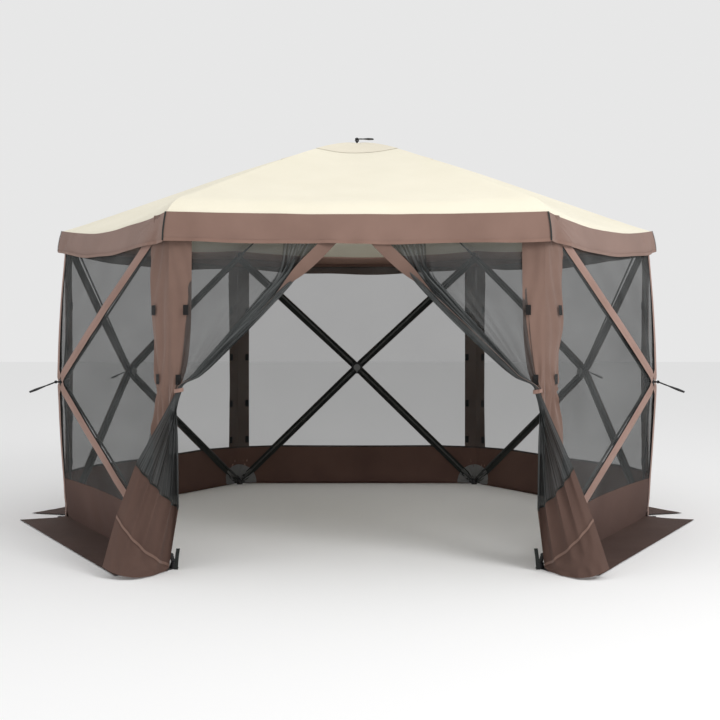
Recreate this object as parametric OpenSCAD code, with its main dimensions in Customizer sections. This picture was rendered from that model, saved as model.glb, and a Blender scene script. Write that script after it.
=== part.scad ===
// Six-sided screen house with a hub frame: roof poles, five hub walls and a split door.
// Origin on the ground under the roof hub, door on the -Y side, +Z up, millimetres.

/* [Overall] */
// radius from the centre to a fabric corner
corner_r = 1778; // [1200:1:2400]
// height of the roof pole pins at the roof hub
hub_z = 2245; // [1800:1:2600]
// height of the upper corner brackets
top_z = 1700; // [1300:1:2100]
// height of the foot bracket pins above the ground
foot_z = 24; // [18:1:60]
// distance of a wall hub from the centre, along the wall normal
wall_hub_x = 1786; // [1560:1:1900]
// how far the corner brackets sit inside the fabric corner
corner_inset = 33; // [28:1:60]

/* [Poles] */
// diameter of the glass fibre rods
rod_d = 11; // [8:0.5:14]
// outer diameter of the end ferrules
ferrule_d = 16; // [13:0.5:20]
// length of an end ferrule
ferrule_l = 78; // [50:1:140]
// thickness of the flat eye at a pole end
eye_t = 8; // [5:0.5:10]
// radius of the flat eye at a pole end
eye_r = 9; // [7:0.5:12]
// pin radius
pin_r = 3; // [2:0.1:4]
// radial play of an eye on its pin
pin_play = 0.1; // [0.05:0.05:0.8]

/* [Hubs and brackets] */
// pin circle radius of the roof hub
roof_pin_r = 40; // [36:1:60]
// distance from a wall hub centre to its pins
wall_pin_r = 42; // [38:1:60]
// distance from a corner bracket centre to its wall pole pins
bracket_r = 45; // [40:1:60]
// distance from a corner bracket centre to its roof pole pin
roof_arm = 42; // [38:1:60]
// height of the roof pole pin above the bracket centre
roof_arm_z = 14; // [0:1:20]
// thickness of one clevis cheek
cheek_t = 4; // [3:0.5:6]
// side gap between an eye and a cheek
cheek_gap = 0.6; // [0.4:0.1:1.2]
// radius of the wall hub plate
hub_plate_r = 40; // [34:1:50]
// radius of the disc on the room side of a wall hub
inner_disc_r = 25; // [18:1:28]
// radius of the roof hub plate
roof_plate_r = 46; // [42:1:60]
// radius of the foot plate
foot_plate_r = 23; // [20:1:30]
// distance of the stake hole from the foot centre
stake_reach = 66; // [50:1:90]
// radius of the stake hole
stake_hole_r = 6; // [4:0.5:9]

/* [Fabric] */
// thickness of the fabric solids
cloth_t = 3; // [2:0.5:5]
// height of the canopy underside at the corners
eave_z = 1732; // [1500:1:2000]
// radius of the canopy corners
eave_r = 1797; // [1700:1:1900]
// height of the canopy underside around the roof hub
crown_z = 2272; // [2200:1:2400]
// height of the valance
valance_h = 118; // [80:1:200]
// top of the wall fabric
wall_top_z = 1692; // [1500:1:1800]
// half size of the flat patch of wall fabric over a hub
patch = 46; // [40:1:70]
// width of the ground flaps
flap_w = 268; // [150:1:350]
// height of the door ties
tie_z = 850; // [600:1:1100]

/* [Handles] */
// length of the grip
grip_l = 98; // [70:1:140]
// width of the grip at its widest
grip_w = 27; // [12:1:36]
// thickness of the grip
grip_t = 13; // [6:0.5:20]
// length of the cord neck between the eyelet and the grip
neck_l = 48; // [30:1:70]
// droop of the wall handles below the wall normal
droop = 20; // [0:1:60]
// azimuth in which the roof handle lies
handle_az = -50; // [-180:1:180]

/* [Hidden] */
c30 = cos(30);
bracket_in_r = corner_r - corner_inset;
bx = c30 * bracket_in_r;
by = bracket_in_r / 2;
hub_wz = (top_z + foot_z) / 2;
half_z = (top_z - foot_z) / 2;
plane_d = sqrt(by * by + half_z * half_z);
ey = by / plane_d;
ez = half_z / plane_d;
pop = wall_hub_x - bx;
reach = plane_d - bracket_r - wall_pin_r;
wall_pole_l = sqrt(reach * reach + pop * pop);
lean = atan2(pop, reach);
roof_run = bracket_in_r - roof_arm - roof_pin_r;
roof_drop = hub_z - top_z - roof_arm_z;
roof_pole_l = sqrt(roof_run * roof_run + roof_drop * roof_drop);
pitch = atan2(roof_drop, roof_run);
cheek_in = eye_t / 2 + cheek_gap;
cheek_out = cheek_in + cheek_t;
handle_out = 51.5;
black = [0.08, 0.08, 0.09];
grey = [0.32, 0.33, 0.34];
rodc = [0.14, 0.15, 0.14];
cream = [0.94, 0.92, 0.84];
taupe = [0.48, 0.37, 0.33];
brown = [0.30, 0.21, 0.18];
meshc = [0.30, 0.31, 0.31, 0.7];
$fn = 32;

// azimuth of wall k, and of corner k
function wall_az(k) = -30 + 60 * (k - 1);
function corner_az(k) = -60 + 60 * (k - 1);

// places children with local X along x, local Z along z, origin at o
module basis(o, x, z) {
  y = cross(z, x);
  multmatrix([[x[0], y[0], z[0], o[0]],
              [x[1], y[1], z[1], o[1]],
              [x[2], y[2], z[2], o[2]]])
    children();
}

module rod_y(r, h) {
  rotate([90, 0, 0]) cylinder(r = r, h = h, center = true);
}

// two cheeks and a pin; the pole leaves along +X and swings towards -Z
module clevis(back) {
  for (sy = [-1, 1]) {
    translate([0, sy * (cheek_in + cheek_t / 2), 0]) rod_y(eye_r + 1, cheek_t);
    translate([-back, sy > 0 ? cheek_in : -cheek_out, -6]) cube([back, cheek_t, 14]);
  }
  rod_y(pin_r, 2 * cheek_out + 3);
  translate([-back - 2, -cheek_out, -6]) cube([back - 11, 2 * cheek_out, 14]);
}

// one cheek without a pin, for a pivot left open; side picks the cheek
module half_clevis(back, side) {
  translate([0, side * (cheek_in + cheek_t / 2), 0]) rod_y(eye_r + 1, cheek_t);
  translate([-back, side > 0 ? cheek_in : -cheek_out, -6]) cube([back, cheek_t, 14]);
}

module pole_end() {
  difference() {
    union() {
      rod_y(eye_r, eye_t);
      translate([0, -eye_t / 2, -6]) cube([16, eye_t, 12]);
    }
    rod_y(pin_r + pin_play, eye_t + 2);
  }
  translate([14, 0, 0]) rotate([0, 90, 0]) cylinder(r1 = 6.5, r2 = ferrule_d / 2, h = 5);
  translate([18.9, 0, 0]) rotate([0, 90, 0]) cylinder(d = ferrule_d, h = ferrule_l - 19);
}

// a pole from its first pin at the origin to its second pin at +X
module pole(len) {
  color(black) pole_end();
  color(black) translate([len, 0, 0]) rotate([0, 180, 0]) pole_end();
  color(rodc) translate([ferrule_l - 6, 0, 0]) rotate([0, 90, 0])
    cylinder(d = rod_d, h = len - 2 * ferrule_l + 12);
}

module roof_pole(k) {
  rotate([0, 0, corner_az(k)])
    basis([roof_pin_r, 0, hub_z], [cos(pitch), 0, -sin(pitch)], [sin(pitch), 0, cos(pitch)])
      pole(roof_pole_l);
}

// wall pole of wall k from the corner on side cy (-1 or 1), upper for cz 1 and lower for cz -1
module wall_pole(k, cy, cz) {
  e = [0, -cy * ey, -cz * ez];
  o = [bx, cy * by, cz > 0 ? top_z : foot_z] + e * bracket_r;
  x = e * cos(lean) + [sin(lean), 0, 0];
  z = e * sin(lean) - [cos(lean), 0, 0];
  rotate([0, 0, wall_az(k)]) basis(o, x, z) pole(wall_pole_l);
}

module arm_clevis(dir, z, dist, from) {
  basis(dir * dist, dir, z) clevis(dist - from);
}

// arm towards the hub of the wall on side sw (1: wall k, -1: wall k-1) at corner k
module wall_arm(sw, cz) {
  rotate([0, 0, 30 * sw])
    arm_clevis([0, sw * ey, -cz * ez], [-1, 0, 0], bracket_r, 6);
}

module wall_arm_open(sw, cz) {
  rotate([0, 0, 30 * sw])
    basis([0, sw * ey, -cz * ez] * bracket_r, [0, sw * ey, -cz * ez], [-1, 0, 0])
      half_clevis(bracket_r - 6, -1);
}

module top_corner(k) {
  color(black) rotate([0, 0, corner_az(k)]) translate([bracket_in_r, 0, top_z]) {
    cylinder(r = 17, h = 40, center = true);
    translate([0, 0, 20]) cylinder(r1 = 17, r2 = 9, h = 6);
    translate([0, 0, -26]) cylinder(r1 = 9, r2 = 17, h = 6);
    translate([0, 0, roof_arm_z]) arm_clevis([-1, 0, 0], [0, 0, -1], roof_arm, 6);
    if (k < 6) wall_arm(1, 1);
    if (k > 1) wall_arm(-1, 1);
  }
}

module foot(k) {
  color(black) rotate([0, 0, corner_az(k)]) translate([bracket_in_r, 0, 0]) {
    cylinder(r = foot_plate_r, h = 4);
    translate([0, 0, 3.9]) cylinder(r1 = 20, r2 = 14, h = 26);
    difference() {
      union() {
        translate([0, -11, 0]) cube([stake_reach, 22, 4]);
        translate([stake_reach, 0, 0]) cylinder(r = 15, h = 4);
      }
      translate([stake_reach, 0, -1]) cylinder(r = stake_hole_r, h = 6);
    }
    translate([0, 0, foot_z]) {
      if (k < 6) wall_arm(1, -1);
      if (k == 6) wall_arm(-1, -1);
      if (k > 1 && k < 6) wall_arm_open(-1, -1);
    }
  }
}

module roof_hub() {
  color(black) translate([0, 0, hub_z]) {
    translate([0, 0, 10.5]) cylinder(r = roof_plate_r, h = 5, $fn = 64);
    translate([0, 0, -6]) cylinder(r = 20, h = 17);
    for (k = [1 : 6]) rotate([0, 0, corner_az(k)]) {
      arm_clevis([1, 0, 0], [0, 0, 1], roof_pin_r, 8);
      translate([24, -cheek_out, 7]) cube([10, 2 * cheek_out, 4]);
    }
    translate([0, 0, 15]) cylinder(r = 5, h = 30);
    translate([0, 0, 40]) cylinder(r1 = 5, r2 = 9, h = 4);
    translate([0, 0, 43.9]) cylinder(r = 9, h = 4.1);
    rotate([0, 0, handle_az]) {
      translate([0, -11, 58]) cube([5, 4, 14], center = true);
      translate([0, 11, 58]) cube([5, 4, 14], center = true);
      translate([0, 0, 50]) cube([9, 26, 5], center = true);
      translate([0, 0, 62]) rod_y(2.5, 28);
    }
  }
}

module hub_arms() {
  for (cz = [-1, 1]) arm_clevis([0, -ey, cz * ez], [1, 0, 0], wall_pin_r, 8);
  arm_clevis([0, ey, -ez], [1, 0, 0], wall_pin_r, 8);
  basis([0, ey, ez] * wall_pin_r, [0, ey, ez], [1, 0, 0]) half_clevis(13, -1);
}

module wall_hub(k) {
  color(black) rotate([0, 0, wall_az(k)]) translate([wall_hub_x, 0, hub_wz]) {
    translate([10.5, 0, 0]) rotate([0, 90, 0]) cylinder(r = hub_plate_r, h = 5, $fn = 64);
    translate([-13, 0, 0]) rotate([0, 90, 0]) cylinder(r = 9, h = 24);
    translate([-16, 0, 0]) rotate([0, 90, 0]) cylinder(r = inner_disc_r, h = 3.5, $fn = 48);
    translate([-15.5, -4, -inner_disc_r - 14]) cube([2.5, 8, 22]);
    hub_arms();
    for (cz = [-1, 1]) for (cy = [-1, 1])
      basis([0, 0, 0], [0, cy * ey, cz * ez], [1, 0, 0])
        translate([27, -cheek_out, 7]) cube([9, cheek_t, 4]);
    translate([15, 0, 0]) rotate([0, 90, 0]) cylinder(r = 5, h = 26);
    translate([46.5, -9, 0]) cube([17, 4, 7], center = true);
    translate([46.5, 9, 0]) cube([17, 4, 7], center = true);
    translate([40, 0, 0]) cube([5, 22, 7], center = true);
    translate([handle_out, 0, 0]) rod_y(2.5, 24);
  }
}

// eyelet at the origin, neck and grip along +X
module handle() {
  difference() {
    rod_y(8, 8);
    rod_y(2.9, 10);
  }
  translate([7, 0, 0]) rotate([0, 90, 0]) cylinder(r = 3.8, h = neck_l - 6);
  hull() {
    translate([neck_l, 0, 0]) rotate([0, 90, 0]) scale([0.6, 1, 1]) cylinder(r = 5, h = 4);
    translate([neck_l + 0.6 * grip_l, 0, 0]) scale([1, 1, grip_t / grip_w])
      rotate([0, 90, 0]) cylinder(d = grip_w, h = 8);
    translate([neck_l + grip_l - 6, 0, 0]) scale([1, 1, grip_t / grip_w])
      rotate([0, 90, 0]) cylinder(d = 0.8 * grip_w, h = 6);
  }
}

module roof_handle() {
  color(black) translate([0, 0, hub_z + 62]) rotate([0, 8, handle_az])
    handle();
}

module wall_handle(k) {
  color(black) rotate([0, 0, wall_az(k)]) translate([wall_hub_x + handle_out, 0, hub_wz])
    rotate([0, droop, 0]) handle();
}

// one flat-sided sheet between four outer points, closed on the inner side by offset d
module sheet4(p, d) {
  q = [for (a = p) a + d];
  polyhedron(points = concat(p, q), faces = [[0, 1, 2], [0, 2, 3], [6, 5, 4], [7, 6, 4],
    [1, 0, 4], [1, 4, 5], [2, 1, 5], [2, 5, 6], [3, 2, 6], [3, 6, 7], [0, 3, 7], [0, 7, 4]]);
}

module roof_canopy() {
  r0 = 30;
  g = 0.6;
  color(cream) {
    for (k = [0 : 5]) rotate([0, 0, 60 * k - 90])
      sheet4([[c30 * r0, g - r0 / 2, crown_z], [c30 * r0, r0 / 2 - g, crown_z],
              [c30 * eave_r, eave_r / 2 - g, eave_z + 4], [c30 * eave_r, g - eave_r / 2, eave_z + 4]],
             [0, 0, -4]);
    translate([0, 0, crown_z - 4]) difference() {
      cylinder(r = r0 - 1.5, h = 4, $fn = 6);
      translate([0, 0, -1]) cylinder(r = 8, h = 8);
    }
  }
}

module valance() {
  xt = c30 * eave_r;
  xb = xt + 22;
  color(taupe) for (k = [0 : 5]) rotate([0, 0, 60 * k - 90])
    sheet4([[xt, 3 - eave_r / 2, eave_z - 1], [xt, eave_r / 2 - 3, eave_z - 1],
            [xb, eave_r / 2 + 9, eave_z - valance_h], [xb, -eave_r / 2 - 9, eave_z - valance_h]],
           [-cloth_t, 0, 0]);
}

// five flat plates: above, below and beside the hub, and a small patch over it
module wall_panel(k) {
  x0 = c30 * corner_r;
  y0 = corner_r / 2 - 17;
  x1 = wall_hub_x + 25;
  t = [-cloth_t, 0, 0];
  color(meshc) rotate([0, 0, wall_az(k)]) {
    sheet4([[x0, 1 - y0, wall_top_z], [x0, y0 - 1, wall_top_z],
            [x1, patch - 1, hub_wz + patch], [x1, 1 - patch, hub_wz + patch]], t);
    sheet4([[x1, 1 - patch, hub_wz - patch], [x1, patch - 1, hub_wz - patch],
            [x0, y0 - 1, 0], [x0, 1 - y0, 0]], t);
    for (s = [-1, 1])
      sheet4([[x0, s * y0, s > 0 ? wall_top_z - 1 : 1], [x0, s * y0, s > 0 ? 1 : wall_top_z - 1],
              [x1, s * patch, hub_wz - s * (patch - 1)], [x1, s * patch, hub_wz + s * (patch - 1)]], t);
    difference() {
      translate([x1 - cloth_t, 1.5 - patch, hub_wz + 1.5 - patch])
        cube([cloth_t, 2 * patch - 3, 2 * patch - 3]);
      translate([x1 - 20, 0, hub_wz]) rotate([0, 90, 0]) cylinder(r = 8, h = 40);
    }
  }
}

// half of the split door on side sy, gathered and tied to the corner
module door_half(sy) {
  x0 = c30 * corner_r;
  yt = corner_r / 2;
  color(meshc) rotate([0, 0, -90]) {
    hull() {
      translate([x0 - 2, sy * (yt - 42) - 2, 1680]) cube([6, 4, 8]);
      translate([x0 - 2, sy * 92 - 2, 1680]) cube([6, 4, 8]);
      translate([x0 + 30, sy * (yt - 78), tie_z]) cylinder(r = 20, h = 20, $fn = 12);
    }
    translate([x0 + 30, sy * (yt - 78), 3]) rotate([0, 0, 15])
      cylinder(r1 = 44, r2 = 18, h = tie_z - 4, $fn = 12);
  }
}

module ground_flaps() {
  x0 = c30 * corner_r + 4;
  y0 = corner_r / 2 - 50;
  color(brown) for (k = [1 : 5]) rotate([0, 0, wall_az(k)])
    sheet4([[x0, -y0, 0.5], [x0, y0, 0.5], [x0 + flap_w, y0 + 60, 0.5],
            [x0 + flap_w, -y0 - 60, 0.5]], [0, 0, cloth_t]);
}

roof_hub();
roof_handle();
roof_canopy();
valance();
roof_pole(1);  // roof_pole_1
roof_pole(2);  // roof_pole_2
roof_pole(3);  // roof_pole_3
roof_pole(4);  // roof_pole_4
roof_pole(5);  // roof_pole_5
roof_pole(6);  // roof_pole_6
top_corner(1);  // top_corner_1
top_corner(2);  // top_corner_2
top_corner(3);  // top_corner_3
top_corner(4);  // top_corner_4
top_corner(5);  // top_corner_5
top_corner(6);  // top_corner_6
wall_pole(1, -1, 1);  // upper_pole_1a
wall_pole(2, -1, 1);  // upper_pole_2a
wall_pole(3, -1, 1);  // upper_pole_3a
wall_pole(4, -1, 1);  // upper_pole_4a
wall_pole(5, -1, 1);  // upper_pole_5a
wall_pole(1, 1, 1);  // upper_pole_1b
wall_pole(2, 1, 1);  // upper_pole_2b
wall_pole(3, 1, 1);  // upper_pole_3b
wall_pole(4, 1, 1);  // upper_pole_4b
wall_pole(5, 1, 1);  // upper_pole_5b
wall_hub(1);  // wall_hub_1
wall_hub(2);  // wall_hub_2
wall_hub(3);  // wall_hub_3
wall_hub(4);  // wall_hub_4
wall_hub(5);  // wall_hub_5
wall_pole(1, -1, -1);  // lower_pole_1a
wall_pole(2, -1, -1);  // lower_pole_2a
wall_pole(3, -1, -1);  // lower_pole_3a
wall_pole(4, -1, -1);  // lower_pole_4a
wall_pole(5, -1, -1);  // lower_pole_5a
wall_pole(1, 1, -1);  // lower_pole_1b
wall_pole(2, 1, -1);  // lower_pole_2b
wall_pole(3, 1, -1);  // lower_pole_3b
wall_pole(4, 1, -1);  // lower_pole_4b
wall_pole(5, 1, -1);  // lower_pole_5b
foot(1);  // foot_1
foot(2);  // foot_2
foot(3);  // foot_3
foot(4);  // foot_4
foot(5);  // foot_5
foot(6);  // foot_6
wall_panel(1);  // wall_panel_1
wall_panel(2);  // wall_panel_2
wall_panel(3);  // wall_panel_3
wall_panel(4);  // wall_panel_4
wall_panel(5);  // wall_panel_5
wall_handle(1);  // wall_handle_1
wall_handle(2);  // wall_handle_2
wall_handle(3);  // wall_handle_3
wall_handle(4);  // wall_handle_4
wall_handle(5);  // wall_handle_5
door_half(-1);  // door_left
door_half(1);  // door_right
ground_flaps();
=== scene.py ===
import bpy
import math
import numpy as np
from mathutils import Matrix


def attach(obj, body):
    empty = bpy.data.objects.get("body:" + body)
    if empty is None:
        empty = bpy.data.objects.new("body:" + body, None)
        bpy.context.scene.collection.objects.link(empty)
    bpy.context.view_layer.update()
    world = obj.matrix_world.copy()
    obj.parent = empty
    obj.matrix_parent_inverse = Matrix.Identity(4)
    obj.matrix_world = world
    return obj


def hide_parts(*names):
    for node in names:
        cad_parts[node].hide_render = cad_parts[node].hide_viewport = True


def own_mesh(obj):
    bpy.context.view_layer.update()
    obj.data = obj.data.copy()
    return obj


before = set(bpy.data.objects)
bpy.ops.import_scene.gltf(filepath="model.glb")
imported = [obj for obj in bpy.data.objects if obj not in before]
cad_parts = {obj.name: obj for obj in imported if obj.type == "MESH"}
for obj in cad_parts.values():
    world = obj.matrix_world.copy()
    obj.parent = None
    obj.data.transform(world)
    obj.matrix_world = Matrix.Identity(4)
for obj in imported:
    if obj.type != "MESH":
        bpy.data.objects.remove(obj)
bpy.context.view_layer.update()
scene = bpy.context.scene

# ---------------------------------------------------------------- camera
cam = bpy.data.objects.new("camera", bpy.data.cameras.new("camera"))
scene.collection.objects.link(cam)
cam.location = (0.0, -6.849, 1.108)
cam.rotation_euler = (math.radians(90), 0, 0)
cam.data.sensor_width = 36.0
cam.data.lens = 56.1
cam.data.shift_x = 0.0042
cam.data.shift_y = -0.0342
cam.data.clip_end = 100
scene.camera = cam

# ---------------------------------------------------------------- sizes, metres, shared with the CAD
C30 = math.cos(math.radians(30))
R_C = 1.778            # fabric corner radius
X_0 = C30 * R_C        # wall line at the corners, along the wall normal
Y_0 = R_C / 2
X_H = 1.827            # fabric over a wall hub
Z_H = 0.862
Z_T = 1.704            # wall top at a corner
R_E = 1.797            # eave corner radius
Z_E = 1.742            # eave corner height
Z_A = 2.277            # crown height
SKIRT = 0.267          # height of the cloth skirt round the bottom
BAND = 0.080           # width of a column's cloth on one side of a corner
BAND_DOOR = 0.108      # the same on the door side of a front corner
BAND_FRONT = 0.125     # and on the wall side of a front corner
TIE_Z = 0.850          # height at which the door halves are tied back
TIE_FADE = 0.115       # height over which the pull of the tie fades
FRONT_CURL = 0.052     # how far the unpropped front eave hangs below the others
VALANCE = 0.125        # drop of the valance
VALANCE_MORE = 0.013   # extra drop on the unpropped front side
BAND_TOP = Z_T - 0.02  # top end of a column
MESH_TOP = 1.622       # top of the wall mesh, just under its dark band
DOOR_CUT = 0.820       # width a door half is cut to below its tie
DOOR_UV = 0.72         # texture width of a door half
BLACK = (0.018, 0.018, 0.02)
DISC_GREY = (0.17, 0.175, 0.18)
DISC_X = 1.786 - 0.0122   # nearer the room than this, a wall hub is its grey disc


def wall_az(k):
    return math.radians(-30 + 60 * (k - 1))


def corner_az(k):
    return math.radians(-60 + 60 * (k - 1))


def tag_of(cy):
    """letter of the half of a wall at y * cy > 0"""
    return "a" if cy < 0 else "b"


def pole_of(k, cy, cz):
    """wall pole of wall k on the side cy, upper for cz above 0"""
    return "%s_pole_%d%s" % ("upper" if cz > 0 else "lower", k, tag_of(cy))


def wall_at(k, side):
    """wall on one side of corner k, 0 for the doorway, and the end of that wall the corner is at"""
    w = k if side > 0 else k - 1
    return (0 if w == 6 else w), (-1 if side > 0 else 1)


def turn(p, a):
    """rows of p turned by a about Z"""
    p = np.asarray(p, float)
    c, s = math.cos(a), math.sin(a)
    q = p.copy()
    q[..., 0] = c * p[..., 0] - s * p[..., 1]
    q[..., 1] = s * p[..., 0] + c * p[..., 1]
    return q


def waves(seed, n, lo, hi):
    """a smooth field of n sines over two metric coordinates, about -1 to 1"""
    r = np.random.RandomState(seed)
    f = np.exp(r.uniform(math.log(lo), math.log(hi), n)) * 2 * math.pi
    a = r.uniform(0, 2 * math.pi, n)
    ph = r.uniform(0, 2 * math.pi, n)
    amp = (lo * 2 * math.pi / f) ** 0.7

    def g(u, v):
        t = 0
        for i in range(n):
            t = t + amp[i] * np.sin(f[i] * (u * math.cos(a[i]) + v * math.sin(a[i])) + ph[i])
        return t / amp.sum() * 1.8
    return g


# ---------------------------------------------------------------- materials
def principled(name, colour, rough=0.8, alpha=None, spec=0.3, sheen=0.0):
    m = bpy.data.materials.new(name)
    m.use_nodes = True
    b = m.node_tree.nodes["Principled BSDF"]
    b.inputs["Base Color"].default_value = (*colour, 1)
    b.inputs["Roughness"].default_value = rough
    b.inputs["Specular IOR Level"].default_value = spec
    if sheen:
        b.inputs["Sheen Weight"].default_value = sheen
        b.inputs["Sheen Roughness"].default_value = 0.5
    if alpha is not None:
        b.inputs["Alpha"].default_value = alpha
    return m, m.node_tree.nodes, m.node_tree.links, b


def cloth(name, colour, dark, rough=0.85, weave=900.0, alpha=None, bump=0.25, sheen=0.15, var=1.0,
          fold_light_streaks=None):
    """woven cloth: two crossed thread waves in the sheet's own metric coordinates, with soft uneven tone;
    fold_light_streaks stretches that tone into stripes of painted highlight and shade along folds
    """
    m, nodes, links, b = principled(name, colour, rough, alpha, 0.2, sheen)
    uv = nodes.new("ShaderNodeUVMap")
    sep = nodes.new("ShaderNodeSeparateXYZ")
    links.new(uv.outputs["UV"], sep.inputs[0])
    outs = []
    for ax in (0, 1):
        mul = nodes.new("ShaderNodeMath")
        mul.operation = "MULTIPLY"
        mul.inputs[1].default_value = weave
        links.new(sep.outputs[ax], mul.inputs[0])
        s = nodes.new("ShaderNodeMath")
        s.operation = "SINE"
        links.new(mul.outputs[0], s.inputs[0])
        outs.append(s)
    prod = nodes.new("ShaderNodeMath")
    prod.operation = "MULTIPLY"
    links.new(outs[0].outputs[0], prod.inputs[0])
    links.new(outs[1].outputs[0], prod.inputs[1])
    noise = nodes.new("ShaderNodeTexNoise")
    noise.inputs["Scale"].default_value = 3.0
    noise.inputs["Detail"].default_value = 6.0
    links.new(uv.outputs["UV"], noise.inputs["Vector"])
    # stripes of painted highlight and shade along the folds, stretched out of the tone noise
    if fold_light_streaks:
        st = nodes.new("ShaderNodeVectorMath")
        st.operation = "MULTIPLY"
        st.inputs[1].default_value = (fold_light_streaks[0], fold_light_streaks[1], 1)
        links.new(uv.outputs["UV"], st.inputs[0])
        links.new(st.outputs["Vector"], noise.inputs["Vector"])
        noise.inputs["Scale"].default_value = 1.0
        noise.inputs["Detail"].default_value = 3.0
    ramp = nodes.new("ShaderNodeMapRange")
    ramp.inputs["From Min"].default_value = 0.3
    ramp.inputs["From Max"].default_value = 0.7
    ramp.inputs["To Min"].default_value = 0.0
    ramp.inputs["To Max"].default_value = var
    links.new(noise.outputs["Fac"], ramp.inputs["Value"])
    mix = nodes.new("ShaderNodeMix")
    mix.data_type = "RGBA"
    mix.inputs["A"].default_value = (*colour, 1)
    mix.inputs["B"].default_value = (*dark, 1)
    links.new(ramp.outputs["Result"], mix.inputs["Factor"])
    links.new(mix.outputs["Result"], b.inputs["Base Color"])
    bp = nodes.new("ShaderNodeBump")
    bp.inputs["Strength"].default_value = bump
    bp.inputs["Distance"].default_value = 0.0006
    links.new(prod.outputs[0], bp.inputs["Height"])
    links.new(bp.outputs["Normal"], b.inputs["Normal"])
    return m


def plastic(name, colour, rough=0.45, scale=60.0):
    """moulded plastic with a fine grained surface"""
    m, nodes, links, b = principled(name, colour, rough, None, 0.4)
    co = nodes.new("ShaderNodeTexCoord")
    n = nodes.new("ShaderNodeTexNoise")
    n.inputs["Scale"].default_value = scale * 10
    n.inputs["Detail"].default_value = 3
    links.new(co.outputs["Object"], n.inputs["Vector"])
    r = nodes.new("ShaderNodeMapRange")
    r.inputs["To Min"].default_value = rough - 0.1
    r.inputs["To Max"].default_value = rough + 0.15
    links.new(n.outputs["Fac"], r.inputs["Value"])
    links.new(r.outputs["Result"], b.inputs["Roughness"])
    bp = nodes.new("ShaderNodeBump")
    bp.inputs["Strength"].default_value = 0.1
    bp.inputs["Distance"].default_value = 0.0004
    links.new(n.outputs["Fac"], bp.inputs["Height"])
    links.new(bp.outputs["Normal"], b.inputs["Normal"])
    return m


M_CREAM = cloth("canopy cloth", (0.88, 0.83, 0.68), (0.84, 0.79, 0.64), 0.8, 2600.0)
M_CROWN = cloth("canopy patch cloth", (0.83, 0.77, 0.63), (0.78, 0.72, 0.58), 0.8, 2600.0)
M_TAUPE = cloth("valance cloth", (0.262, 0.165, 0.133), (0.214, 0.132, 0.105), 0.85, 2600.0)
M_WEB = cloth("webbing", (0.36, 0.225, 0.185), (0.28, 0.17, 0.135), 0.8, 3600.0, bump=0.5)
M_COLUMN = cloth("band cloth", (0.270, 0.168, 0.133), (0.215, 0.130, 0.102), 0.85, 2600.0)
M_SKIRT = cloth("skirt cloth", (0.120, 0.068, 0.054), (0.092, 0.051, 0.041), 0.85, 2600.0, sheen=0.03)
M_FLAP = cloth("flap cloth", (0.080, 0.045, 0.035), (0.058, 0.032, 0.025), 0.85, 2600.0, sheen=0.03)
M_TAPE = cloth("black tape", (0.022, 0.026, 0.024), (0.014, 0.016, 0.015), 0.8, 3600.0, bump=0.5)
M_GREY = cloth("grey patch", (0.20, 0.20, 0.20), (0.16, 0.16, 0.16), 0.85, 2600.0)
# the insect mesh's wide tone spread is partly uneven tone and partly painted highlight standing in for lit
# wrinkles
M_MESH = cloth("insect mesh", (0.110, 0.114, 0.114), (0.040, 0.042, 0.042), 0.9, 5200.0, alpha=0.57,
               sheen=0.0)
# the hanging and gathered door mesh carry stripes of painted highlight and shade along their folds
M_HANG = cloth("hanging mesh", (0.088, 0.092, 0.092), (0.010, 0.011, 0.011), 0.9, 5200.0, alpha=0.93,
               sheen=0.0, fold_light_streaks=(70.0, 1.6))
M_GATHER = cloth("gathered mesh", (0.125, 0.132, 0.132), (0.006, 0.007, 0.007), 0.9, 5200.0, alpha=0.80,
                 sheen=0.0, fold_light_streaks=(95.0, 2.2))
M_DOOR = cloth("door skirt cloth", (0.115, 0.069, 0.055), (0.085, 0.050, 0.040), 0.85, 2600.0, sheen=0.03)
M_BLACK = plastic("black plastic", BLACK)
M_ROD = plastic("glass fibre", (0.05, 0.052, 0.05), 0.3, 20)
M_FRONT = cloth("front band cloth", (0.210, 0.132, 0.105), (0.160, 0.099, 0.078), 0.85, 2600.0)
M_HOOK = cloth("hook and loop", (0.016, 0.015, 0.015), (0.010, 0.009, 0.009), 0.95, 5200.0, bump=0.8)


def hub_material(k):
    """black plastic with the room-side disc in grey"""
    a = wall_az(k)
    m = plastic("hub plastic %d" % k, BLACK)
    nodes, links = m.node_tree.nodes, m.node_tree.links
    co = nodes.new("ShaderNodeTexCoord")
    dot = nodes.new("ShaderNodeVectorMath")
    dot.operation = "DOT_PRODUCT"
    dot.inputs[1].default_value = (math.cos(a), math.sin(a), 0)
    links.new(co.outputs["Object"], dot.inputs[0])
    less = nodes.new("ShaderNodeMath")
    less.operation = "LESS_THAN"
    less.inputs[1].default_value = DISC_X
    links.new(dot.outputs["Value"], less.inputs[0])
    mix = nodes.new("ShaderNodeMix")
    mix.data_type = "RGBA"
    mix.inputs["A"].default_value = (*BLACK, 1)
    mix.inputs["B"].default_value = (*DISC_GREY, 1)
    links.new(less.outputs[0], mix.inputs["Factor"])
    links.new(mix.outputs["Result"], nodes["Principled BSDF"].inputs["Base Color"])
    return m


for n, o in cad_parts.items():
    m = M_ROD if "pole" in n else M_BLACK
    if n.startswith("wall_hub"):
        m = hub_material(int(n[-1]))
    o.data.materials.clear()
    o.data.materials.append(m)


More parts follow.
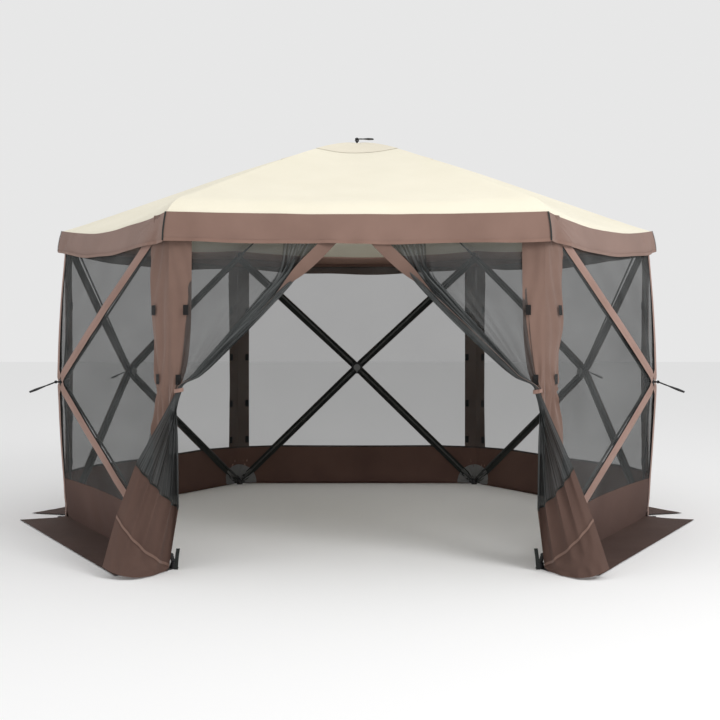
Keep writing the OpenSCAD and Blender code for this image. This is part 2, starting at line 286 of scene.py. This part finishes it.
# ---------------------------------------------------------------- builders
def grid(name, P, UV, mat, smooth=True):
    """a quad sheet through the points P[i, j], with metric texture coordinates UV[i, j]"""
    P = np.asarray(P, float)
    n, m = P.shape[:2]
    me = bpy.data.meshes.new(name)
    idx = np.arange(n * m).reshape(n, m)
    f = np.stack([idx[:-1, :-1], idx[1:, :-1], idx[1:, 1:], idx[:-1, 1:]], -1).reshape(-1, 4)
    me.from_pydata(P.reshape(-1, 3).tolist(), [], f.tolist())
    lay = me.uv_layers.new(name="UVMap")
    loops = np.zeros(len(me.loops), int)
    me.loops.foreach_get("vertex_index", loops)
    lay.data.foreach_set("uv", np.asarray(UV, float).reshape(-1, 2)[loops].reshape(-1))
    if smooth:
        me.polygons.foreach_set("use_smooth", [True] * len(me.polygons))
    me.materials.append(mat)
    me.update()
    o = bpy.data.objects.new(name, me)
    scene.collection.objects.link(o)
    return o


def area(P):
    P = np.asarray(P, float)
    a, b, c, d = P[:-1, :-1], P[1:, :-1], P[1:, 1:], P[:-1, 1:]
    return 0.5 * float(np.linalg.norm(np.cross(c - a, d - b), axis=-1).sum())


def soft(o, P, size, held, on, body, axis=None, anchor=None, keep=0.06, nodes=()):
    """makes a sheet follow a CAD body, gives it a mesh of its own when an axis is given, and hides the CAD
    nodes it stands in for
    """
    w, l = size
    true = area(P)
    grow = math.sqrt(max(1.0, true / (w * l)))     # a bulged or pleated sheet is cut larger than its outline
    w, l = w * grow, l * grow
    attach(o, body)
    if axis is not None:
        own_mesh(o)
    if nodes:
        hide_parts(*nodes)
    return o


# ---------------------------------------------------------------- hub walls
wall_noise = [waves(20 + k, 14, 1.2, 9.0) for k in range(6)]


def eave_sag(k):
    """drop of the eave between two corners"""
    return 0.012 if k == 0 else 0.050


def wall_top(k, y):
    return Z_T - 0.018 - (eave_sag(k) - 0.004) * (1 - (y / Y_0) ** 2)


def wall_x(k, y, z, out=0.0):
    """wall k's distance along its normal: four facets hollowed between bowed ridges over the crossed poles"""
    y = np.asarray(y, float)
    z = np.asarray(z, float)
    a = np.abs(y) / Y_0
    b = np.where(z > Z_H, (z - Z_H) / (Z_T - Z_H), (Z_H - z) / Z_H)
    p = 20.0
    t = (a ** p + b ** p + 1e-40) ** (1 / p)
    t = np.minimum(np.maximum(t, 0.052), 1.0)
    m = np.minimum(a, b) / np.maximum(np.maximum(a, b), 1e-6)
    sag = 0.026 * 4 * t * (1 - t) * (1 - m ** 2)
    low = np.clip((0.3 - z) / 0.3, 0, 1) * (1 - a ** 2) * 0.012
    th = np.arctan2(z - Z_H, y)
    r = np.hypot(y, z - Z_H)
    fan = 0.0016 * np.sin(th * 37 + 3 * np.sin(th * 5 + k)) * np.exp(-((r - 0.16) / 0.16) ** 2)
    bow = np.where(z > Z_H, 0.012, 0.006) * 4 * t * (1 - t) * m ** 2
    x = X_H - (X_H - X_0) * t - sag + low + fan + bow
    x = x + 0.0035 * wall_noise[k](y, z) * (1 - m ** 4) * np.clip((1 - t) * 8, 0, 1)
    for cy in (-1, 1):
        for zc in (0.0, Z_T):
            d = np.hypot(y - cy * Y_0, z - zc)
            q = np.arctan2(z - zc, y - cy * Y_0)
            x = x + 0.0022 * np.sin(q * 46 + 2 * np.sin(q * 7 + cy + k)) * np.exp(-((d - 0.17) / 0.13) ** 2)
    if k in (1, 5):                        # folds drawn towards the tie at the front corner
        cy = -1 if k == 1 else 1
        d = np.hypot(y - cy * (Y_0 - 0.05), z - 0.86)
        q = np.arctan2(z - 0.86, cy * (Y_0 - 0.05) - cy * y)
        ray = np.sin(q * 15 + 2.2 * np.sin(q * 4 + k) + 0.8)
        x = x + 0.016 * ray * np.exp(-((d - 0.26) / 0.20) ** 2) * np.clip((1 - t) * 6, 0, 1)
    return x + out


def wall_patch(k, name, ys, zf, mat, nz, quad, out=0.0, nodes=()):
    """part of wall k: ys across, zf(y) gives the low and high height; rides its pole"""
    ys = np.asarray(ys, float)
    lo, hi = zf(ys)
    v = np.linspace(0, 1, nz)[None, :]
    Y = np.repeat(ys[:, None], nz, 1)
    Z = lo[:, None] + (hi - lo)[:, None] * v
    P = np.stack([wall_x(k, Y, Z, out), Y, Z], -1)
    UV = np.stack([Y + 3.0 * k, Z], -1)
    W = turn(P, wall_az(k))
    o = grid(name, W, UV, mat)
    cy, cz = quad
    e = np.array([0, -cy * Y_0, -cz * 0.838])
    e /= np.linalg.norm(e)
    perp = np.array([0, -e[2], e[1]])
    centre = np.array([X_H - 0.02, 0, Z_H])
    size = (float(ys[-1] - ys[0]), float((hi - lo).max()))
    pole = pole_of(k, cy, cz)
    soft(o, W, size, "stretched", [pole], pole, axis=turn(perp, wall_az(k)), anchor=turn(centre, wall_az(k)),
         keep=0.055, nodes=nodes)


for k in range(1, 6):
    for cy in (-1, 1):
        tag = tag_of(cy)
        inner = np.linspace(0, Y_0 + 0.0004, 64)
        ys = np.sort(cy * inner)
        node = ("wall_panel_%d" % k,)
        wall_patch(k, "mesh_upper_%d%s" % (k, tag), ys, lambda y: (0 * y + Z_H, 0 * y + MESH_TOP), M_MESH,
                   nz=56, quad=(cy, 1), nodes=node)
        wall_patch(k, "mesh_lower_%d%s" % (k, tag), ys, lambda y: (0 * y + SKIRT, 0 * y + Z_H), M_MESH,
                   nz=44, quad=(cy, -1), nodes=node)
        wall_patch(k, "top_band_%d%s" % (k, tag), ys, lambda y: (0 * y + 1.612, wall_top(k, y)), M_SKIRT,
                   out=0.0008, nz=6, quad=(cy, 1))
        wall_patch(k, "skirt_%d%s" % (k, tag), ys, lambda y: (0 * y + 0.003, 0 * y + SKIRT + 0.012), M_SKIRT,
                   out=0.0008, nz=20, quad=(cy, -1))

# webbing outside and tape inside, along every wall pole
for k in range(1, 6):
    for cy in (-1, 1):
        for cz in (-1, 1):
            body = pole_of(k, cy, cz)
            zc = Z_T if cz > 0 else 0.0
            A = np.array([cy * (Y_0 - 0.012), zc + (-0.022 if cz > 0 else 0.012)])
            B = np.array([cy * 0.012, Z_H + cz * 0.012])
            d = (B - A) / np.linalg.norm(B - A)
            q = np.array([-d[1], d[0]])
            L = float(np.linalg.norm(B - A))
            for nm, wd, out, mat, slot in (("webbing", 0.058, 0.0030, M_WEB, "trim_cloth"),
                                           ("inner_tape", 0.050, -0.0030, M_TAPE, "flap_cloth")):
                u = np.linspace(0, L, 90)
                v = np.linspace(-wd / 2, wd / 2, 7)
                Y = A[0] + u[:, None] * d[0] + v[None, :] * q[0]
                Z = np.maximum(A[1] + u[:, None] * d[1] + v[None, :] * q[1], 0.004)
                Yc = A[0] + u * d[0]
                Zc = A[1] + u * d[1]
                xc = wall_x(k, Yc, Zc)
                X = wall_x(k, Y, Z)
                if out > 0:
                    X = np.maximum(X, xc[:, None] - 0.004)
                X = X + out
                P = turn(np.stack([X, Y, Z], -1), wall_az(k))
                UV = np.stack([np.repeat(u[:, None], 7, 1), np.repeat(v[None, :], 90, 0)], -1)
                o = grid("%s_%d%s%s" % (nm, k, tag_of(cy), "u" if cz > 0 else "l"), P, UV, mat)
                soft(o, P, (L, wd), "stretched", [body], body)

# bands on both sides of every corner; the doorway's own bands are gathered into the ties
for k in range(1, 7):
    for side in (1, -1):
        w, cy = wall_at(k, side)
        front = k in (1, 6)
        wide = BAND_DOOR if w == 0 else (BAND_FRONT if front else BAND)
        nz = 110 if front else 60
        t = np.linspace(-0.0016, wide, 15 if front else 7)
        Z1 = np.linspace(TIE_Z - 0.090 if w == 0 else 0.006, BAND_TOP, nz)
        T, Z = np.meshgrid(t, Z1, indexing="ij")
        near = np.exp(-np.clip(Z - TIE_Z, 0, 2) / TIE_FADE) if front else 0 * Z
        if front and w:
            near = np.where(Z < TIE_Z, np.exp(-((Z - TIE_Z) / 0.11) ** 2), near)
        shrink = 1 - (0.52 if w == 0 else 0.48) * near
        if w == 0:                         # the end below the tie tapers away
            shrink = shrink * (1 - 0.85 * np.clip((TIE_Z - Z) / 0.09, 0, 1))
        pull = (0.034 if w == 0 else 0.014) * near * np.clip(T / 0.05, 0, 1)
        Y = cy * (Y_0 - T * shrink)
        if w == 0:
            X = X_0 + 0.0034 + pull + 0.0020 * wall_noise[0](Y * 3, Z) * np.clip(T / 0.02, 0, 1)
        else:
            X = np.maximum(wall_x(w, Y, Z), X_0 + (Y_0 - np.abs(Y)) * 0.20) + 0.0022 + pull
        if front:
            ray = np.arctan2(T - 0.06, np.abs(Z - TIE_Z) + 0.05)
            fade = np.exp(-np.abs(Z - TIE_Z) / 0.20) * np.clip(T / 0.015, 0, 1)
            X = X + 0.0060 * (1 + np.sin(ray * 15 + 1.5 * np.sin(ray * 6 + k))) * fade
            X = X + 0.0028 * (1 + np.sin(T * 95 + 7 * Z + 2 * np.sin(Z * 9 + k))) * np.clip(T / 0.02, 0, 1)
        P = turn(np.stack([X, Y, Z], -1), wall_az(w) if w else math.radians(-90))
        UV = np.stack([Y, Z], -1)
        o = grid("corner_band_%d%s" % (k, tag_of(cy)), P, UV, M_FRONT if front else M_COLUMN)
        soft(o, P, (wide, float(Z1[-1] - Z1[0])), "stretched", ["top_corner_%d" % k, "foot_%d" % k],
             "top_corner_%d" % k, axis=(0, 0, 1), anchor=(0, 0, Z_T), keep=0.13)

# hook-and-loop tabs on the bands: outside on the front corners, inside on the others
for k in range(1, 7):
    front = k in (1, 6)
    for side in (1, -1):
        w, cy = wall_at(k, side)
        for i, z in enumerate((1.228, 0.900) if front else (1.290, 0.945, 0.600, 0.330)):
            dist = 0.082 if w == 0 else (0.086 if front else 0.066)
            if front and i == 1:
                dist = 0.050 if w == 0 else 0.052
            v = np.linspace(-0.024, 0.024, 5)
            u = np.linspace(-0.0125, 0.0125, 4)
            U, V = np.meshgrid(u, v, indexing="ij")
            Y = cy * (Y_0 - dist) + U
            Z = z + V
            lift = 0.0
            if front:
                lift = (0.034 if w == 0 else 0.014) * math.exp(-(z - TIE_Z) / TIE_FADE)
            if w == 0:
                X = X_0 + 0.0034 + lift + 0.0200 + 0 * Y
            elif front:
                X = np.maximum(wall_x(w, Y, Z), X_0 + (Y_0 - np.abs(Y)) * 0.20) + 0.0190 + lift
            else:
                X = wall_x(w, Y, Z) - 0.0022
            P = turn(np.stack([X, Y, Z], -1), wall_az(w) if w else math.radians(-90))
            o = grid("tab_%d%s_%d" % (k, tag_of(cy), i), P, np.stack([U, V], -1), M_HOOK)
            soft(o, P, (0.025, 0.048), "stretched", ["top_corner_%d" % k], "top_corner_%d" % k,
                 axis=(0, 0, 1), anchor=(0, 0, Z_T), keep=0.13)

# half-round grey patches inside the bottom corners, stitched in rays
for k in range(1, 7):
    for side in (1, -1):
        w, cy = wall_at(k, side)
        if not w:
            continue
        rr = np.linspace(0.004, 0.138, 22)
        aa = np.linspace(0.02, math.pi / 2, 34)
        R, A = np.meshgrid(rr, aa, indexing="ij")
        Y = cy * (Y_0 - R * np.cos(A) * 0.99 - 0.001)
        Z = 0.006 + R * np.sin(A)
        X = wall_x(w, Y, Z) - 0.0030 - 0.0016 * np.cos(A * 24) * R / 0.138
        P = turn(np.stack([X, Y, Z], -1), wall_az(w))
        o = grid("corner_patch_%d%s" % (k, tag_of(cy)), P, np.stack([Y, Z], -1), M_GREY)
        soft(o, P, (0.138, 0.138), "stretched", ["foot_%d" % k], "foot_%d" % k,
             axis=(0, 0, 1), anchor=(0, 0, 0), keep=0.3)

# stake loops of black webbing at the two front feet
for sy in (-1, 1):
    foot = "foot_%d" % (6 if sy < 0 else 1)
    u = np.linspace(0, 0.100, 14)
    v = np.linspace(-0.009, 0.009, 4)
    U, V = np.meshgrid(u, v, indexing="ij")
    P = np.stack([sy * (Y_0 - 0.036 - 0.10 * U) + V, -(X_0 + 0.020 + 0.012 * np.sin(U * 30)) + 0 * V,
                  0.004 + U], -1)
    o = grid("stake_loop_%s" % ("left" if sy < 0 else "right"), P, np.stack([V, U], -1), M_TAPE)
    soft(o, P, (0.018, 0.105), "hung", [foot], foot, axis=(0, 0, 1), anchor=(0, 0, 0), keep=0.5)

# ---------------------------------------------------------------- canopy and valance
roof_noise = [waves(60 + k, 12, 0.9, 7.0) for k in range(6)]


def gore_az(k):
    return math.radians(-90 + 60 * k)


def front_share(k, t):
    """1 along the door side's eave, fading to 0 along the two gores next to it"""
    return {0: 1 + 0 * t, 1: 0.5 - 0.5 * t, 5: 0.5 + 0.5 * t}.get(k, 0 * t)


def gore(k, s, t):
    """canopy point of gore k: s from the crown to the eave, t across from -1 to 1"""
    rho = 0.02 + (R_E - 0.02) * s
    z = Z_A + (Z_E - Z_A) * s + 0.040 * np.sin(math.pi * np.clip(s, 0, 1) ** 0.55) ** 1.5
    cut = (1 - t ** 2)
    z = z - FRONT_CURL * front_share(k, t) * np.clip((s - 0.93) / 0.07, 0, 1) ** 2.4
    dip = (0.036 * np.sin(math.pi * s) ** 0.8 + eave_sag(k) * s ** 3) * cut
    x = C30 * rho - 0.014 * s ** 3 * cut
    y = rho / 2 * t
    z = z - dip + 0.0045 * roof_noise[k](x, y) * cut * np.clip(s * 4, 0, 1)
    rr = (1 - s) * R_E
    q = np.arctan2(rr, (1 - np.abs(t)) * rho / 2 + 1e-6)
    d = np.hypot(rr, (1 - np.abs(t)) * rho / 2)
    z = z + 0.0022 * np.sin(q * 30 + 2 * np.sin(q * 5)) * np.exp(-((d - 0.2) / 0.16) ** 2)
    return np.stack([x, y, z], -1)


for k in range(6):
    for side in (-1, 1):
        # corner this half belongs to: gore 0 is the door side between corners 6 and 1
        corner = k if side < 0 else k + 1
        corner = 6 if corner == 0 else corner
        pole = "roof_pole_%d" % corner
        top = "top_corner_%d" % corner
        s = np.linspace(0, 1, 90) ** 0.9
        t = np.linspace(0, 1, 40) if side > 0 else np.linspace(-1, 0, 40)
        S, T = np.meshgrid(s, t, indexing="ij")
        P0 = gore(k, S, T)
        P = turn(P0, gore_az(k))
        UV = np.stack([P0[..., 1] + 4 * k, S * R_E], -1)
        o = grid("canopy_%d%s" % (k, "l" if side < 0 else "r"), P, UV, M_CREAM)
        ca = corner_az(corner)
        tang = np.array([-math.sin(ca), math.cos(ca), 0])
        rad = np.array([math.cos(ca), math.sin(ca), 0])
        roof = {"axis": tang, "anchor": rad * 0.9 + np.array([0, 0, 2]), "keep": 0.055}
        soft(o, P, (Y_0 + 0.01, 1.66), "stretched", [pole], pole, nodes=("roof_canopy",), **roof)
        # crown patch
        s2 = np.linspace(0.0, 0.250, 26)
        S, T = np.meshgrid(s2, t, indexing="ij")
        Q0 = gore(k, S, T)
        Q0[..., 2] += 0.0022
        Q = turn(Q0, gore_az(k))
        o = grid("crown_patch_%d%s" % (k, "l" if side < 0 else "r"), Q, np.stack([Q0[..., 1], S * R_E], -1),
                 M_CROWN)
        soft(o, Q, (0.233, 0.43), "stretched", [pole], pole, **roof)
        # valance
        hem = np.linspace(0, 1, 14)
        tt = np.linspace(0, 1, 60) if side > 0 else np.linspace(-1, 0, 60)
        H, T = np.meshgrid(hem, tt, indexing="ij")
        E = gore(k, np.ones_like(T), T)
        V0 = E.copy()
        ripple = 0.0075 * np.sin(T * 23 + 2.1 * np.sin(T * 7 + k)) * H ** 1.5 * (1 - T ** 8)
        V0[..., 0] = E[..., 0] + 0.004 + 0.020 * np.sin(H * math.pi * 0.5) + ripple
        deep = VALANCE + VALANCE_MORE * front_share(k, T)
        V0[..., 2] = E[..., 2] + 0.003 - deep * H - 0.003 * np.sin(T * 9 + k) * H
        if k:
            wall = wall_x(k, E[..., 1], V0[..., 2]) + 0.010
            V0[..., 0] = V0[..., 0] + np.clip(wall - V0[..., 0] + 0.004, 0, 1)
        out = V0[..., 0] - E[..., 0]
        V0[..., 1] = E[..., 1] * (1 + 0.5774 * out / (R_E / 2))
        V = turn(V0, gore_az(k))
        half = "l" if side < 0 else "r"
        o = grid("valance_%d%s" % (k, half), V, np.stack([V0[..., 1], H * VALANCE], -1), M_TAUPE)
        ga = gore_az(k)
        hang = {"axis": np.array([-math.sin(ga), math.cos(ga), 0]),
                "anchor": rad * R_C + np.array([0, 0, 1.7]), "keep": 0.07}
        soft(o, V, (Y_0 + 0.012, 0.140 if k in (0, 1, 5) else 0.127), "hung", [top], top, nodes=("valance",),
             **hang)
        # rolled hem along the valance's lower edge
        hh = np.linspace(-0.004, 0.012, 4)
        HH = np.meshgrid(hh, tt, indexing="ij")[0]
        L0 = np.repeat(V0[-1:, :, :], 4, 0)
        L0[..., 0] += 0.0018
        L0[..., 2] += HH
        Lw = turn(L0, gore_az(k))
        o = grid("valance_hem_%d%s" % (k, half), Lw, np.stack([L0[..., 1], HH], -1), M_COLUMN)
        soft(o, Lw, (Y_0 + 0.012, 0.016), "hung", [top], top, **hang)

# dark stitched seam down each valance corner
for k in range(1, 7):
    ca = corner_az(k)
    front = k in (1, 6)
    h = np.linspace(0, 1, 14)
    v = np.linspace(-0.005, 0.005, 3)
    H, U = np.meshgrid(h, v, indexing="ij")
    top_z = Z_E + 0.003 - (FRONT_CURL if front else 0)
    r = R_E + (0.004 + 0.020 * np.sin(H * math.pi * 0.5)) / C30 + 0.0022
    deep = VALANCE + (VALANCE_MORE if front else 0)
    P = turn(np.stack([r, U, top_z - deep * H], -1), ca)
    o = grid("valance_seam_%d" % k, P, np.stack([U, H * VALANCE], -1), M_TAPE)
    soft(o, P, (0.012, 0.142 if front else 0.127), "stretched", ["top_corner_%d" % k], "top_corner_%d" % k,
         axis=(0, 0, 1), anchor=(0, 0, Z_T), keep=0.5)


# ---------------------------------------------------------------- ground flaps
for k in range(1, 6):
    for cy in (-1, 1):
        foot = "foot_%d" % (k if cy < 0 else k + 1)
        u = np.linspace(0, 1, 50)
        v = np.linspace(0, 1, 14)
        U, V = np.meshgrid(u, v, indexing="ij")
        Y = cy * U * (Y_0 - 0.045 + 0.06 * V)
        X = X_0 + 0.004 + 0.268 * V
        Z = 0.0035 + 0.002 * (1 + wall_noise[k](X * 2, Y * 1.3)) + 0.010 * (1 - V) ** 6
        P0 = np.stack([X, Y, Z], -1)
        if cy < 0:
            P0 = P0[::-1]
        P = turn(P0, wall_az(k))
        o = grid("ground_flap_%d%s" % (k, tag_of(cy)), P, np.stack([P0[..., 1], P0[..., 0]], -1), M_FLAP)
        wa = wall_az(k)
        ca = corner_az(k if cy < 0 else k + 1)
        soft(o, P, (Y_0 + 0.015, 0.27), "laid", [foot], foot,
             axis=(-math.sin(wa), math.cos(wa), 0),
             anchor=(R_C * math.cos(ca), R_C * math.sin(ca), 0), keep=0.07, nodes=("ground_flaps",))


# ---------------------------------------------------------------- the door side
def door_az(P):
    return turn(P, math.radians(-90))


# ribbon under the valance, along the top of the doorway
for sy in (-1, 1):
    corner = 6 if sy < 0 else 1
    y = np.sort(sy * np.linspace(0, Y_0 - 0.006, 50))
    z = np.linspace(1.594, 1.680, 8)
    Y, Z = np.meshgrid(y, z, indexing="ij")
    X = X_0 + 0.0065 + 0.002 * wall_noise[0](Y * 2, Z) + 0.006 * np.sin(Y * 8) * (1.68 - Z) / 0.09
    P = door_az(np.stack([X, Y, Z], -1))
    o = grid("door_header_%s" % ("left" if sy < 0 else "right"), P, np.stack([Y, Z], -1), M_COLUMN)
    soft(o, P, (Y_0, 0.086), "hung", ["top_corner_%d" % corner], "top_corner_%d" % corner,
         axis=(1, 0, 0), anchor=(sy * Y_0, 0, 1.7), keep=0.07)

# the two door halves: gathered from the header to a tie, then a fan down to the foot
DOOR = {
    -1: {"tag": "left", "corner": 6, "top": (0.088, 0.790), "tie": (-0.836, 1.585, 0.850),
         "seam": [(-0.842, 1.575, 0.300), (-0.925, 1.640, 0.400), (-1.030, 1.620, 0.512)],
         "hem": [(-0.884, 1.565, 0.016), (-1.000, 1.690, 0.130), (-1.120, 1.640, 0.262)],
         "edge": [(-0.892, 1.590, 0.006), (-1.015, 1.772, 0.012), (-1.165, 1.720, 0.050)]},
    1: {"tag": "right", "corner": 1, "top": (0.052, 0.790), "tie": (0.848, 1.585, 0.846),
        "seam": [(0.852, 1.575, 0.292), (0.930, 1.640, 0.390), (1.004, 1.640, 0.496)],
        "hem": [(0.882, 1.565, 0.016), (0.985, 1.690, 0.130), (1.094, 1.670, 0.250)],
        "edge": [(0.894, 1.590, 0.006), (1.015, 1.772, 0.010), (1.150, 1.740, 0.045)]}}


def bez(c, u):
    """smooth curve through three points"""
    c = np.asarray(c, float)
    u = u[..., None]
    return c[0] * 2 * (u - 0.5) * (u - 1) + c[1] * 4 * u * (1 - u) + c[2] * 2 * u * (u - 0.5)


def smooth(x, a, b):
    t = np.clip((x - a) / (b - a), 0, 1)
    return t * t * (3 - 2 * t)


def upper_door(sy, U, W, out=0.0):
    """the door half above its tie: U from the column to the zip, W from the header to the tie"""
    d = DOOR[sy]
    tie = np.array(d["tie"])
    in_y, out_y = d["top"]
    tx = abs(tie[0])
    g = smooth(W, 0.0, 0.30)
    f = np.where(U < 0.62, 1.34 * U, 0.8308 + (U - 0.62) / 0.38 * 0.1692)
    q = (1 - g) * U + g * f
    side = out_y + (tx - out_y) * W ** 1.6
    zip_y = (1 - W) * in_y + W * (tx - 0.012) + 0.016 * 4 * W * (1 - W)
    y = side + (zip_y - side) * q
    z = (1 - W) * 1.600 + W * tie[2] - 0.040 * 4 * W * (1 - W) * q ** 2
    pinch = 1 - smooth(W, 0.80, 1.0) * 0.75
    ph = U * 2 * math.pi * 11.5 + 1.5 * np.sin(U * 17 + sy) + 1.2 * np.sin(W * 3 + sy)
    fold = smooth(W, 0.02, 0.36) * smooth(U, 0.50, 0.72) * pinch
    x = tie[1] * W + (X_0 + 0.004) * (1 - W) + 0.019 * fold * np.sin(ph)
    bow = 0.0125 * fold * np.cos(ph + 0.6)
    y = y - bow
    z = z - bow
    fan = np.sin(U * 52 + 2.4 * np.sin(U * 13) + sy + 2 * W) * smooth(W, 0.05, 0.9) * pinch
    fan = fan * (1 - smooth(U, 0.5, 0.7))
    x = x - 0.016 * (1 - smooth(U, 0.0, 0.08)) * (1 - smooth(W, 0.70, 0.95))
    x = x + 0.0085 * fan + 0.007 * wall_noise[0](y * 2.4, z * 2.4) * (1 - W) * smooth(W, 0, 0.08)
    c = smooth(W, 0.88, 1.0)
    a = U * 2 * math.pi * 0.97 + 0.6
    x = x * (1 - c) + c * (tie[1] + 0.017 * np.cos(a))
    y = y * (1 - c) + c * (tx + 0.015 * np.sin(a))
    return np.stack([x + out, sy * y, z], -1)


def lower_door(sy, U, V, a, b, fold, seed):
    """the part of a door half between two rows of points; fold scales the pleats"""
    d = DOOR[sy]
    lo = bez(d[b], U)
    if a == "tie":
        t = np.array(d["tie"])
        ang = U * 2 * math.pi * 0.97 + 0.6
        hi = np.stack([t[0] + sy * 0.9 * 0.017 * np.sin(ang), t[1] + 0.017 * np.cos(ang), t[2] + 0 * U], -1)
        e = V[..., None] ** 0.92
    else:
        hi = bez(d[a], U)
        e = V[..., None]
    P = hi * (1 - e) + lo * e
    ph = (U ** 0.8) * 2 * math.pi * 4.5 + 1.1 * np.sin(U * 7 + seed)
    w = fold(U, V)
    P[..., 1] += w * np.sin(ph)
    P[..., 0] += sy * 0.55 * w * np.cos(ph + 0.5)
    P[..., 2] = np.maximum(P[..., 2], 0.004)
    return np.stack([P[..., 1], P[..., 0], P[..., 2]], -1)


for sy in (-1, 1):
    d = DOOR[sy]
    tag, corner = d["tag"], d["corner"]
    top, foot = "top_corner_%d" % corner, "foot_%d" % corner
    node = ("door_%s" % tag,)
    anchor = (sy * Y_0, 0, 1.7)
    w = np.linspace(0, 1, 100)
    for nm, u, mat, wide in (("mesh_upper", np.linspace(0, 0.66, 90), M_MESH, 0.475),
                             ("mesh_gather", np.linspace(0.66, 1, 160), M_GATHER, 0.345)):
        U, W = np.meshgrid(u, w, indexing="ij")
        P = door_az(upper_door(sy, U, W))
        o = grid("door_%s_%s" % (nm, tag), P, np.stack([U * DOOR_UV, W], -1), mat)
        soft(o, P, (wide, 1.0), "gathered", [top], top, axis=(1, 0, 0), anchor=anchor, keep=0.07, nodes=node)
    # zip edge: faces out at the top, rolls under on the way down
    h = np.linspace(-0.5, 0.5, 7)
    H, W2 = np.meshgrid(h, w, indexing="ij")
    E = upper_door(sy, np.full_like(W2, 0.999), W2)
    tw = 1.75 * smooth(W2, 0.10, 0.42)
    wid = 0.062 * (1 - 0.80 * smooth(W2, 0.2, 0.6))
    E[..., 2] += H * wid * np.cos(tw) * 0.72
    E[..., 1] += sy * H * wid * np.cos(tw) * 0.69
    E[..., 0] += 0.012 + H * wid * np.sin(tw) * 0.6
    Z = door_az(E)
    o = grid("door_zip_edge_%s" % tag, Z, np.stack([W2 * 1.09, H * 0.05], -1), M_FRONT)
    soft(o, Z, (1.09, 0.062), "gathered", [top], top, axis=(1, 0, 0), anchor=anchor, keep=0.07)
    # mesh below the tie
    u = np.linspace(0, 1, 190)
    v = np.linspace(0, 1, 70)
    U2, V2 = np.meshgrid(u, v, indexing="ij")
    low = {"axis": (0, 0, 1), "anchor": (sy * Y_0, -X_0, 0), "keep": 0.16}

    def pleat(a, b):
        return (0.017 * (1 - a) ** 1.1 + 0.0035) * (1 - 0.5 * b)

    L = door_az(lower_door(sy, U2, V2, "tie", "seam",
                           lambda a, b: smooth(b, 0.0, 0.45) * ((1 - b) * 0.016 + b * pleat(a, 0)), 1))
    o = grid("door_mesh_lower_%s" % tag, L, np.stack([U2 * DOOR_UV, V2 * 0.5], -1), M_HANG)
    soft(o, L, (DOOR_CUT, 0.50), "gathered", [foot], foot, **low)
    # skirt, seam and flap of the door
    K = door_az(lower_door(sy, U2, V2, "seam", "hem", pleat, 1))
    o = grid("door_skirt_%s" % tag, K, np.stack([U2 * DOOR_UV, V2 * SKIRT], -1), M_DOOR)
    soft(o, K, (DOOR_CUT, SKIRT), "gathered", [foot], foot, **low)
    U3, V3 = np.meshgrid(u, np.linspace(0.955, 1.0, 5), indexing="ij")
    R = lower_door(sy, U3, V3, "seam", "hem", pleat, 1)
    R[..., 0] += 0.0035
    R[..., 2] += 0.002
    R = door_az(R)
    o = grid("door_ribbon_%s" % tag, R, np.stack([U3 * DOOR_UV, V3 * 0.2], -1), M_FRONT)
    soft(o, R, (DOOR_CUT, 0.012), "gathered", [foot], foot, **low)
    U4, V4 = np.meshgrid(u, np.linspace(0.0, 0.03, 4), indexing="ij")
    R = lower_door(sy, U4, V4, "seam", "hem", pleat, 1)
    R[..., 0] += 0.0030
    R = door_az(R)
    o = grid("door_seam_%s" % tag, R, np.stack([U4 * DOOR_UV, V4 * 0.2], -1), M_TAPE)
    soft(o, R, (DOOR_CUT, 0.012), "gathered", [foot], foot, **low)
    F = door_az(lower_door(sy, U2, V2, "hem", "edge",
                           lambda a, b: pleat(a, 1) * (1 - b) + 0.005 * b * np.sin(b * 9), 1))
    o = grid("door_flap_%s" % tag, F, np.stack([U2 * DOOR_UV, V2 * 0.2], -1), M_DOOR)
    soft(o, F, (DOOR_CUT, 0.20), "gathered", [foot], foot, **low)
    # strap around the gathered cloth
    t = np.array(d["tie"])
    a = np.linspace(0, 2 * math.pi, 40)
    hh = np.linspace(-0.009, 0.009, 5)
    A, HH = np.meshgrid(a, hh, indexing="ij")
    S = np.stack([t[1] + 0.022 * np.cos(A), t[0] + 0.022 * np.sin(A), t[2] + HH + 0.004 * np.sin(A)], -1)
    S = door_az(S)
    o = grid("tie_strap_%s" % tag, S, np.stack([A * 0.022, HH], -1), M_WEB)
    soft(o, S, (0.138, 0.018), "stretched", [top], top, axis=(1, 0, 0), anchor=anchor, keep=0.07)

# ---------------------------------------------------------------- stage, light
floor = bpy.data.meshes.new("floor")
floor.from_pydata([(-40, -40, 0), (40, -40, 0), (40, 40, 0), (-40, 40, 0)], [], [(0, 1, 2, 3)])
fl = bpy.data.objects.new("floor", floor)
scene.collection.objects.link(fl)
floor.materials.append(principled("studio floor", (0.93, 0.93, 0.93), 0.9, None, 0.0)[0])

world = bpy.data.worlds.new("studio")
scene.world = world
world.use_nodes = True
bg = world.node_tree.nodes["Background"]
bg.inputs["Color"].default_value = (1.0, 1.0, 1.0, 1)
bg.inputs["Strength"].default_value = 0.80


def area_light(name, loc, target, size, power):
    l = bpy.data.lights.new(name, "AREA")
    l.shape = "SQUARE"
    l.size = size
    l.energy = power
    o = bpy.data.objects.new(name, l)
    o.location = loc
    dv = np.array(target) - np.array(loc)
    yaw = math.atan2(dv[1], dv[0])
    pit = math.atan2(math.hypot(dv[0], dv[1]), -dv[2])
    o.rotation_euler = (pit, 0, yaw - math.pi / 2)
    scene.collection.objects.link(o)


area_light("key", (4.6, -6.0, 5.5), (0, 0, 1), 3.0, 260)
area_light("fill", (-5.5, -5.0, 3.0), (0, 0, 1), 4.0, 20)

scene.view_settings.view_transform = "Standard"
